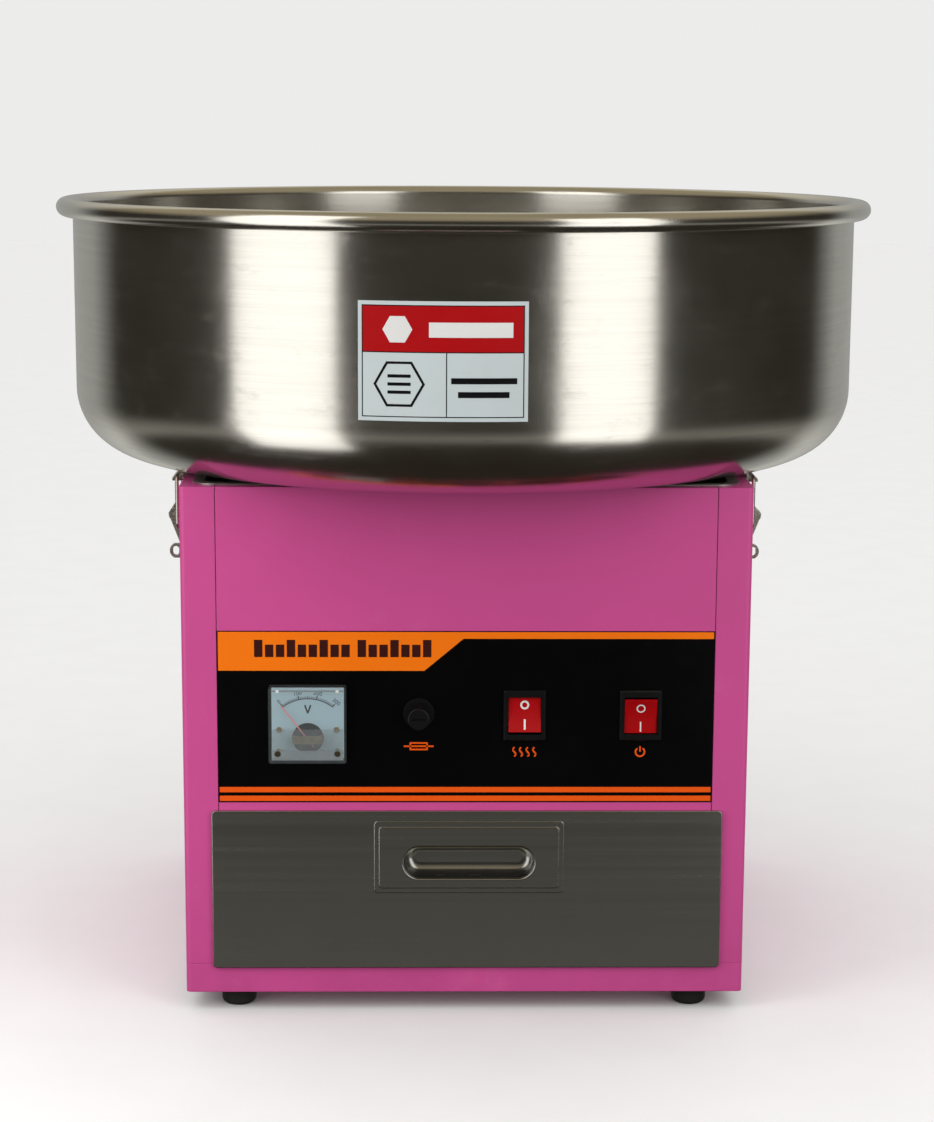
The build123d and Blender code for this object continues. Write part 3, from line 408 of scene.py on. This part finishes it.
# ---------------------------------------------------------------- laying shapes on surfaces
def lay(name, shape, surface, finish, body="root", thickness=INK, step=0.0):
    """Raise the shape from a surface, where surface(across, up, lift) gives a point.

    A step cuts the shape into strips of that width, so that it can follow a curve.
    """
    mesh = bmesh.new()
    for face in shape:
        mesh.faces.new([mesh.verts.new((u, v, 0.0)) for u, v in face])
    bmesh.ops.remove_doubles(mesh, verts=mesh.verts, dist=1e-6)
    if step:
        spread = [vertex.co.x for vertex in mesh.verts]
        for index in range(int(min(spread) / step), int(max(spread) / step) + 1):
            everything = mesh.verts[:] + mesh.edges[:] + mesh.faces[:]
            cut = {"geom": everything, "plane_co": (index * step, 0, 0), "plane_no": (1, 0, 0)}
            bmesh.ops.bisect_plane(mesh, dist=1e-7, **cut)
    bmesh.ops.recalc_face_normals(mesh, faces=mesh.faces)
    flat = [(vertex, vertex.co.copy()) for vertex in mesh.verts]
    foot = {vertex: mesh.verts.new(surface(place.x, place.y, 0.0)) for vertex, place in flat}
    for edge in [edge for edge in mesh.edges if len(edge.link_faces) == 1]:
        a, b = edge.verts
        mesh.faces.new((a, b, foot[b], foot[a]))
    for vertex, place in flat:
        vertex.co = surface(place.x, place.y, thickness)
    bmesh.ops.delete(mesh, geom=[v for v in foot.values() if not v.link_faces], context="VERTS")
    bmesh.ops.recalc_face_normals(mesh, faces=mesh.faces)
    return finished(name, mesh, finish, body)


def finished(name, mesh, finish, body, smooth=False):
    """Turn a bmesh into an object that rides on a body."""
    data = bpy.data.meshes.new(name)
    mesh.to_mesh(data)
    mesh.free()
    for polygon in data.polygons:
        polygon.use_smooth = smooth
    data.materials.append(finish)
    piece = bpy.data.objects.new(name, data)
    bpy.context.scene.collection.objects.link(piece)
    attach(piece, body)
    return piece


def facing(y):
    """A flat surface that faces the front at that depth."""
    return lambda across, up, lift: (across, y - lift, up)


def middle(node):
    """The middle of a node's box, as (across, up)."""
    low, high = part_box(node)
    return (low.x + high.x) / 2, (low.z + high.z) / 2


# ---------------------------------------------------------------- control panel printing
DECAL_EDGE = 0.6 * MM      # bare margin round the printing
BAND_DEPTH = 24.3 * MM     # the orange band's deep left part, from the decal's top
STRIP_DEPTH = 4.7 * MM     # its narrow right part
SLOPE = (123.6 * MM, 146.9 * MM)   # where the slope between the two runs, from the decal's left
LINES = {"lower": (0.8 * MM, 4.1 * MM), "upper": (6.2 * MM, 9.5 * MM)}   # from the decal's foot
TITLE_START = 22.1 * MM    # from the decal's left
TITLE_RISE = 8.4 * MM      # from the band's low edge
TITLE_BLOCKS = (9, 7)      # in each of its two words


def decal_marks():
    """The orange band along the top with its title, and two lines along the foot."""
    low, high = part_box("control_decal")
    face = facing(low.y)
    left, right, top = low.x + DECAL_EDGE, high.x - DECAL_EDGE, high.z - DECAL_EDGE
    band, strip = high.z - BAND_DEPTH, high.z - STRIP_DEPTH
    slope = [(low.x + SLOPE[0], band), (low.x + SLOPE[1], strip)]
    outline = [(left, band), *slope, (right, strip), (right, top), (left, top)]
    lay("decal_orange_band", [outline], face, INKS["orange_ink"])
    for name, (start, end) in LINES.items():
        line = box_shape(left, low.z + start, right, low.z + end)
        lay(f"decal_line_{name}", line, face, INKS["line_ink"])
    title_marks(facing(low.y - INK), low.x + TITLE_START, band + TITLE_RISE)


def title_marks(face, start, foot):
    """Two plain rows of dark blocks where the title's two words stand."""
    width, gap, word_gap = 5.0 * MM, 1.5 * MM, 4.7 * MM
    tall, short = 10.5 * MM, 7.6 * MM
    shape = []
    for count in TITLE_BLOCKS:
        for index in range(count):
            height = short if index % 3 else tall
            shape += box_shape(start, foot, start + width, foot + height)
            start += width + gap
        start += word_gap - gap
    lay("decal_title_blocks", shape, face, INKS["dark_ink"])


SIGN_LINE = 1.0 * MM       # the width of the signs' lines
FUSE_SIGN = 34.8 * MM      # how high the signs' middles stand, from the decal's foot
SWITCH_SIGN = 31.3 * MM


def fuse_sign(x, z):
    half_width, half_height, half_wire = 5.5 * MM, 2.5 * MM, 9 * MM
    shape = frame_shape(x - half_width, z - half_height, x + half_width, z + half_height, SIGN_LINE)
    return shape + stroke_shape([(x - half_wire, z), (x + half_wire, z)], SIGN_LINE)


def heat_sign(x, z):
    """Four upright waves, each of six short strokes."""
    pitch, swing, rise, strokes = 4 * MM, 0.9 * MM, 0.95 * MM, 6
    shape = []
    for place in (-1.5, -0.5, 0.5, 1.5):
        line = x + place * pitch
        points = []
        for k in range(strokes + 1):
            points.append((line + swing * sin(radians(60 * k)), z + rise * (k - strokes / 2)))
        shape += stroke_shape(points, SIGN_LINE)
    return shape


def power_sign(x, z):
    """A ring that is open at the top, with a stroke in the gap."""
    radius, stroke_foot, stroke_top = 3.2 * MM, 0.2 * MM, 3.6 * MM
    half_gap = 35
    ends = (radians(90 + half_gap), radians(450 - half_gap))
    shape = ring_shape(x, z, radius, radius - SIGN_LINE, *ends)
    return shape + stroke_shape([(x, z + stroke_foot), (x, z + stroke_top)], SIGN_LINE)


def control_pictograms():
    """A fuse sign, warm waves and an on-off sign, each under the middle of its control."""
    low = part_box("control_decal")[0]
    signs = {
        "fuse": fuse_sign(middle("fuse_cap")[0], low.z + FUSE_SIGN),
        "heat": heat_sign(middle("heat_rocker")[0], low.z + SWITCH_SIGN),
        "power": power_sign(middle("power_rocker")[0], low.z + SWITCH_SIGN),
    }
    for name, shape in signs.items():
        lay(f"decal_{name}_sign", shape, facing(low.y), INKS["line_ink"])


# ---------------------------------------------------------------- meter
PIVOT_DROP = 9.4 * MM      # from the dial's middle down to the needle's pivot
SWEEP = 37.5               # degrees from upright to either end of the scale
SCALE_RADIUS = 24.0 * MM
SCALE_LINE = 0.46 * MM
DIVISIONS = 30
TICKS = ((10, 2.6 * MM, 1.4), (5, 2.1 * MM, 0.85), (1, 1.7 * MM, 0.85))   # every, length, share of the line
FIGURE_HEIGHT = 2.5 * MM
FIGURE_RADIUS = SCALE_RADIUS + 4.1 * MM
COVER_EDGE = 1.9 * MM      # from the cover's side in to the frosted strips
STRIP_PLACE = 2.2 * MM     # from the cover's front back to the strips
STRIP_THICKNESS = 0.5 * MM
FIXING_PLACE = 1.6 * MM    # from the cover's front back to its studs and its discs of painted bore shade
FIXING_THICKNESS = 0.15 * MM


def around_pivot(turn, radius):
    """The point at that radius from the needle's pivot, turned clockwise from upright in degrees."""
    x, z = middle("meter_dial")
    return x + radius * sin(radians(turn)), z - PIVOT_DROP + radius * cos(radians(turn))


def dial_scale():
    x, pivot = around_pivot(0, 0)
    ends = (radians(90 - SWEEP), radians(90 + SWEEP))
    shape = ring_shape(x, pivot, SCALE_RADIUS + SCALE_LINE, SCALE_RADIUS, *ends, steps=DIVISIONS)
    for index in range(DIVISIONS + 1):
        turn = SWEEP * (2 * index / DIVISIONS - 1)
        length, share = next(tick[1:] for tick in TICKS if index % tick[0] == 0)
        tick = [around_pivot(turn, SCALE_RADIUS), around_pivot(turn, SCALE_RADIUS + length)]
        shape += stroke_shape(tick, SCALE_LINE * share)
    return shape


def dial_figures():
    """The scale's four numbers, and two strokes for the unit."""
    figures = ("0", "100", "200", "300")
    shape = []
    for index, words in enumerate(figures):
        turn = SWEEP * (2 * index / (len(figures) - 1) - 1)
        place = around_pivot(turn, FIGURE_RADIUS)
        shape += moved(text_shape(words, FIGURE_HEIGHT), *place, -radians(turn))
    x, z = middle("meter_dial")
    unit, half_height, half_width, line = z + 8.5 * MM, 2.5 * MM, 1.75 * MM, 1.0 * MM
    for start in (x - half_width, x + half_width):
        shape += stroke_shape([(start, unit + half_height), (x, unit - half_height)], line)
    return shape


def cover_strips():
    """Frosted strips behind the clear cover, from side to side."""
    low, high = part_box("meter_cover")
    z = middle("meter_dial")[1]
    band_top, window_top, top_band = z - 15.5 * MM, z - 2.6 * MM, z + 20.4 * MM
    strips = (
        ("frosted_window", band_top, window_top, "grey_frost"),
        ("lower_band", low.z + COVER_EDGE, band_top, "strip_frost"),
        ("top_band", top_band, high.z - COVER_EDGE, "strip_frost"),
    )
    inside = facing(low.y + STRIP_PLACE)
    for name, start, end, ink_name in strips:
        strip = box_shape(low.x + COVER_EDGE, start, high.x - COVER_EDGE, end)
        lay(f"meter_{name}", strip, inside, INKS[ink_name], thickness=STRIP_THICKNESS)


def cover_fixings():
    """White studs at the cover's top and, at its foot, dark discs of painted shade where the screw bores are,
    a pair of each.
    """
    x, z = middle("meter_dial")
    side, stud_rise, bore_shade_drop = 17.8 * MM, 20.8 * MM, 17.4 * MM
    stud_radius, bore_shade_radius = 1.0 * MM, 1.85 * MM
    studs, bore_shades = [], []
    for place in (x - side, x + side):
        studs += disc_shape(place, z + stud_rise, stud_radius, 20)
        # painted shade: dark discs stand for the shadow inside the screw bores
        bore_shades += disc_shape(place, z - bore_shade_drop, bore_shade_radius, 24)
    inside = facing(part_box("meter_cover")[0].y + FIXING_PLACE)
    for name, shape, ink_name in (("cover_studs", studs, "white_ink"), ("painted_bore_shade", bore_shades, "bore_shade_ink")):
        lay(f"meter_{name}", shape, inside, INKS[ink_name], thickness=FIXING_THICKNESS)


def meter_details():
    face = facing(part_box("meter_dial")[0].y)
    lay("dial_scale", dial_scale(), face, INKS["dial_ink"])
    lay("dial_figures", dial_figures(), face, INKS["dial_ink"])
    cover_strips()
    cover_fixings()


# ---------------------------------------------------------------- rockers
ROCKER_TILT = radians(9.0)
ROCKER_HALF = 10.4 * MM    # half of a rocker's height
PIN_DEPTH = 1.8 * MM       # from the decal's front back to the rocker's pin
FACE_RISE = 3.0 * MM       # from the pin out to the middle of the rocker's face
FACE_HOLLOW = 1.0 * MM     # how much further out the ends of the face stand
ROCKER_INK = 0.05 * MM


def rocker_surface(node, tilt):
    """The rocker's hollow face, tilted on its pin."""
    x, z = middle(node)
    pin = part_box("control_decal")[0].y + PIN_DEPTH
    turn = Matrix.Rotation(-tilt, 3, "X")

    def surface(across, up, lift):
        depth = -FACE_RISE - FACE_HOLLOW * (up / ROCKER_HALF) ** 2 - lift
        point = turn @ Vector((across, depth, up))
        return (x + point.x, pin + point.y, z + point.z)

    return surface


def rocker_marks():
    """A ring at the top and a bar at the bottom of each rocker; the power rocker's are thinner."""
    ring_rise, ring_radius, ring_line = 5.6 * MM, 2.7 * MM, 1.15 * MM
    bar_foot, bar_top, bar_half = -9.2 * MM, -3.0 * MM, 0.6 * MM
    for name, tilt, weight in (("heat", ROCKER_TILT, 1.0), ("power", -ROCKER_TILT, 0.7)):
        shape = ring_shape(0, ring_rise, ring_radius, ring_radius - ring_line * weight)
        shape += box_shape(-bar_half * weight, bar_foot, bar_half * weight, bar_top)
        node = f"{name}_rocker"
        lay(f"{node}_marks", shape, rocker_surface(node, tilt), INKS["white_ink"], node, ROCKER_INK)


# ---------------------------------------------------------------- bowl label
LABEL_LINE = 0.55 * MM
LABEL_INSET = 2.2 * MM     # from the plate's edge to the ruled border
LABEL_CUT = 3.0 * MM       # the width of the strips that follow the bowl

# Places on the label, as shares of its width and height from its top left corner
HEADER_FOOT = 0.42
DIVIDER = 0.52
HEADER_SIGN = (0.235, 0.235)
HEADER_BAR = (0.42, 0.91, 0.30, 0.175)                              # start, end, foot, top
FIELD_SIGN = (0.245, 0.69)
FIELD_BARS = ((0.55, 0.935, 0.685, 0.635), (0.59, 0.89, 0.80, 0.75))


def label_surface():
    """The plate's front, which is curved round the bowl, and its left, right and half height along it."""
    low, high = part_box("bowl_label")
    radius = -low.y
    level = (low.z + high.z) / 2

    def surface(across, up, lift):
        turn = across / radius
        return ((radius + lift) * sin(turn), -(radius + lift) * cos(turn), level + up)

    left, right = [radius * atan2(x, sqrt(radius ** 2 - x ** 2)) for x in (low.x, high.x)]
    return surface, left, right, (high.z - low.z) / 2


def label_marks():
    """Plain bars and hexagon signs on a ruled plate with a red header."""
    surface, left, right, half = label_surface()

    def across(share):
        return left + share * (right - left)

    def up(share):
        return half - share * 2 * half

    def bar(start, end, foot, top):
        return box_shape(across(start), up(foot), across(end), up(top))

    border = (left + LABEL_INSET, -half + LABEL_INSET, right - LABEL_INSET, half - LABEL_INSET)
    header_foot, divider = up(HEADER_FOOT), across(DIVIDER)
    rules = frame_shape(*border, LABEL_LINE)
    rules += box_shape(border[0], header_foot - LABEL_LINE, border[2], header_foot)
    rules += box_shape(divider, border[1], divider + LABEL_LINE, header_foot)
    x, z = across(FIELD_SIGN[0]), up(FIELD_SIGN[1])
    outer, inner = 14.5 * MM, 12.9 * MM
    rules += ring_shape(x, z, outer, inner, steps=6)
    half_bar, half_height, pitch = 6.5 * MM, 0.9 * MM, 4.5 * MM
    for level in (z - pitch, z, z + pitch):
        rules += box_shape(x - half_bar, level - half_height, x + half_bar, level + half_height)
    for places in FIELD_BARS:
        rules += bar(*places)
    lay("label_rules", rules, surface, INKS["black_ink"], step=LABEL_CUT)
    header = box_shape(border[0] + LABEL_LINE, header_foot, border[2] - LABEL_LINE, border[3] - LABEL_LINE)
    lay("label_header", header, surface, INKS["red_ink"], thickness=INK * 0.6, step=LABEL_CUT)
    signs = disc_shape(across(HEADER_SIGN[0]), up(HEADER_SIGN[1]), 8.4 * MM, 6)
    signs += bar(*HEADER_BAR)
    lay("label_header_signs", signs, surface, INKS["white_ink"], step=LABEL_CUT)


# ---------------------------------------------------------------- bowl
SHEET = 1.0 * MM
LABEL_STAND = 0.35 * MM    # from the wall out to the label's front
CORNER = 42.0 * MM         # radius between floor and wall
HOLE = 60.0 * MM           # radius of the hole in the floor
COLLAR = 12.0 * MM         # height of the collar round the hole
COLLAR_BEND = 1.5 * MM
NECK_DROP = 4.0 * MM       # from the middle of the rolled rim down to where the wall turns out
NECK_SPREAD = (0.9 * MM, 3.2 * MM)     # the turn's middle: out from the wall, and down from the rim's middle
RIM_ARC = (247, 540)       # degrees of the rolled rim, from its underside over the top to the inner wall
BOWL_SEGMENTS = 288


def arc_points(x, z, radius, start, end, steps):
    turns = [radians(start + (end - start) * index / steps) for index in range(steps + 1)]
    return [(x + radius * cos(turn), z + radius * sin(turn)) for turn in turns]


def points_between(first, last, count):
    """Evenly spaced points after the first, up to but without the last."""
    shares = [index / (count + 1) for index in range(1, count + 1)]
    return [(first[0] + k * (last[0] - first[0]), first[1] + k * (last[1] - first[1])) for k in shares]


def bowl_outline():
    """The bowl's section as (radius, height): out along its underside, over the rim and back inside."""
    low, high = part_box("bowl")
    wall = -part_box("bowl_label")[0].y - LABEL_STAND
    bead = (high.x - wall + SHEET) / 2
    rim = (high.x - bead, high.z - bead)
    bend = (wall - CORNER, low.z + CORNER)
    neck = (wall, rim[1] - NECK_DROP)
    collar_outside, collar_inside = HOLE, HOLE + SHEET
    floor_top = low.z + SHEET
    points = [(collar_inside, low.z + COLLAR), (collar_outside, low.z + COLLAR)]
    points += [(collar_outside, low.z + COLLAR_BEND), (HOLE + COLLAR_BEND, low.z)]
    points += points_between((HOLE, low.z), (bend[0], low.z), 4)
    points += arc_points(*bend, CORNER, 270, 360, 18)
    points += points_between((wall, bend[1]), neck, 3) + [neck]
    points += [(wall + NECK_SPREAD[0], rim[1] - NECK_SPREAD[1])]
    points += arc_points(*rim, bead, *RIM_ARC, 44)
    points += points_between((wall - SHEET, rim[1]), (wall - SHEET, bend[1]), 3)
    points += arc_points(*bend, CORNER - SHEET, 360, 270, 18)
    points += points_between((bend[0], floor_top), (HOLE, floor_top), 4)
    return points + [(collar_inside + COLLAR_BEND, floor_top), (collar_inside, floor_top + COLLAR_BEND)]


def spun_bowl():
    """The bowl as one fine turned surface: collar, floor, rounded corner, wall and rolled rim."""
    outline = bowl_outline()
    mesh = bmesh.new()
    rows = []
    for index in range(BOWL_SEGMENTS):
        turn = 2 * pi * index / BOWL_SEGMENTS
        rows.append([mesh.verts.new((r * sin(turn), -r * cos(turn), z)) for r, z in outline])
    for here, following in zip(rows, rows[1:] + rows[:1]):
        for index in range(len(outline)):
            after = (index + 1) % len(outline)
            mesh.faces.new((here[index], following[index], following[after], here[after]))
    bmesh.ops.recalc_face_normals(mesh, faces=mesh.faces)
    piece = finished("spun_bowl", mesh, FINISHES["bowl_steel"], "root", smooth=True)
    piece.data.set_sharp_from_angle(angle=radians(40))
    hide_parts("bowl")


# ---------------------------------------------------------------- studio
SOFTBOX_RADIANCE = 1.6
SOFTBOX_COLOUR = (1.0, 0.985, 0.955)
SOFTBOX_LEVELS = (-0.1, 1.25)
SOFTBOXES = {              # where each stands on the floor, from its inner edge to its outer one
    "softbox_left": ((-0.372, -0.635), (-0.66, -0.41)),
    "softbox_right": ((0.435, -1.01), (0.774, -0.70)),
}
FLOOR_REACH = 9.0


def tall_softbox(name, inner, outer):
    """An upright softbox between two points on the floor, facing the machine; only its light is seen."""
    a, b = Vector((*inner, 0)), Vector((*outer, 0))
    low, high = SOFTBOX_LEVELS
    along = (b - a).normalized()
    normal = Vector((-along.y, along.x, 0))
    if normal.dot(-(a + b)) < 0:
        normal = -normal
    data = bpy.data.lights.new(name, "AREA")
    data.shape = "RECTANGLE"
    data.size = (b - a).length
    data.size_y = high - low
    data.energy = SOFTBOX_RADIANCE * data.size * data.size_y * pi
    data.color = SOFTBOX_COLOUR
    light = bpy.data.objects.new(name, data)
    light.location = (a + b) / 2 + Vector((0, 0, (low + high) / 2))
    light.rotation_euler = normal.to_track_quat("-Z", "Y").to_euler()
    light.visible_camera = False
    bpy.context.scene.collection.objects.link(light)


def stage_floor():
    """A pale floor, hidden from reflections and from bounced light."""
    mesh = bmesh.new()
    corners = [(-1, -1), (1, -1), (1, 1), (-1, 1)]
    mesh.faces.new([mesh.verts.new((FLOOR_REACH * x, FLOOR_REACH * y, 0)) for x, y in corners])
    data = bpy.data.meshes.new("floor")
    mesh.to_mesh(data)
    mesh.free()
    pale, scuffed = (0.93, 0.93, 0.925), (0.9, 0.9, 0.89, 1)
    data.materials.append(coated("studio_floor", pale, 0.7, 2 * MM, 2e-6, 0.01, scuffed))
    piece = bpy.data.objects.new("floor", data)
    bpy.context.scene.collection.objects.link(piece)
    piece.visible_diffuse = False
    piece.visible_glossy = False


# The world's light, as stops of (place along one axis of the direction, colour)
BLACK = (0.0, 0.0, 0.0)
SEEN = (0.84, 0.84, 0.835)                                                 # what the camera sees
SOFT = ((-0.05, (0.08, 0.075, 0.075)), (0.10, (0.95, 0.95, 0.95)))         # on matt surfaces, along z
BACK_WALL = ((0.50, (0.022, 0.018, 0.012)), (0.72, (0.37, 0.37, 0.35)))    # in reflections, along y
LEVELS = (                                                                 # in reflections, along z
    (-0.52, BLACK),
    (-0.42, (0.26, 0.255, 0.23)),
    (-0.22, BLACK),
    (0.20, BLACK),
    (0.60, (0.32, 0.27, 0.17)),
)


def room_light():
    """World light: pale where the camera looks, soft from above, and a dark room in the reflections."""
    world = bpy.data.worlds.new("studio")
    bpy.context.scene.world = world
    world.use_nodes = True
    nodes, links = world.node_tree.nodes, world.node_tree.links
    nodes.clear()
    split = nodes.new("ShaderNodeSeparateXYZ")
    links.new(nodes.new("ShaderNodeTexCoord").outputs["Generated"], split.inputs[0])

    def ramp(value, stops):
        """Light whose colour follows a value from -1 to 1."""
        span = nodes.new("ShaderNodeMapRange")
        span.inputs["From Min"].default_value = -1.0
        links.new(value, span.inputs["Value"])
        node = nodes.new("ShaderNodeValToRGB")
        elements = node.color_ramp.elements
        while len(elements) < len(stops):
            elements.new(0.5)
        for element, (position, colour) in zip(elements, stops):
            element.position = (position + 1) / 2
            element.color = (*colour, 1)
        links.new(span.outputs[0], node.inputs[0])
        light = nodes.new("ShaderNodeBackground")
        links.new(node.outputs[0], light.inputs[0])
        return light.outputs[0]

    def join(kind, *inputs):
        node = nodes.new(kind)
        for socket, value in zip(node.inputs, inputs):
            links.new(value, socket)
        return node.outputs[0]

    soft = ramp(split.outputs["Z"], SOFT)
    room = join("ShaderNodeAddShader", ramp(split.outputs["Y"], BACK_WALL), ramp(split.outputs["Z"], LEVELS))
    seen = nodes.new("ShaderNodeBackground")
    seen.inputs[0].default_value = (*SEEN, 1)
    ray = nodes.new("ShaderNodeLightPath").outputs
    lit = join("ShaderNodeMixShader", ray["Is Glossy Ray"], soft, room)
    out = nodes.new("ShaderNodeOutputWorld")
    links.new(join("ShaderNodeMixShader", ray["Is Camera Ray"], lit, seen.outputs[0]), out.inputs[0])


def studio():
    """Pale floor and backdrop, two tall softboxes, and a dark room for the steel to reflect."""
    stage_floor()
    for name, edges in SOFTBOXES.items():
        tall_softbox(name, *edges)
    room_light()


# ---------------------------------------------------------------- camera
CAMERA_PLACE = (-0.02625, -1.60929, 0.5406)
CAMERA_TURNS = (1.052, 10.265, 0.282)    # yaw to the right, pitch down and roll, in degrees
CAMERA_SENSOR = 36.0                     # millimetres, as is the lens
CAMERA_LENS = 79.15


def camera():
    """A camera a little above the bowl's rim, looking slightly down at the front."""
    yaw, pitch, roll = [radians(turn) for turn in CAMERA_TURNS]
    forward = Vector((sin(yaw) * cos(pitch), cos(yaw) * cos(pitch), -sin(pitch)))
    right = Vector((cos(yaw), -sin(yaw), 0))
    up = Vector((sin(yaw) * sin(pitch), cos(yaw) * sin(pitch), cos(pitch)))
    rolled_right = cos(roll) * right + sin(roll) * up
    rolled_up = -sin(roll) * right + cos(roll) * up
    data = bpy.data.cameras.new("camera")
    data.sensor_width = CAMERA_SENSOR
    data.lens = CAMERA_LENS
    data.clip_start = 50 * MM
    view = bpy.data.objects.new("camera", data)
    turn = Matrix((rolled_right, rolled_up, -forward)).transposed()
    view.matrix_world = Matrix.Translation(CAMERA_PLACE) @ turn.to_4x4()
    bpy.context.scene.collection.objects.link(view)
    bpy.context.scene.camera = view


dress_nodes()
spun_bowl()
decal_marks()
control_pictograms()
meter_details()
rocker_marks()
label_marks()
studio()
camera()
bpy.context.scene.view_settings.view_transform = "Standard"
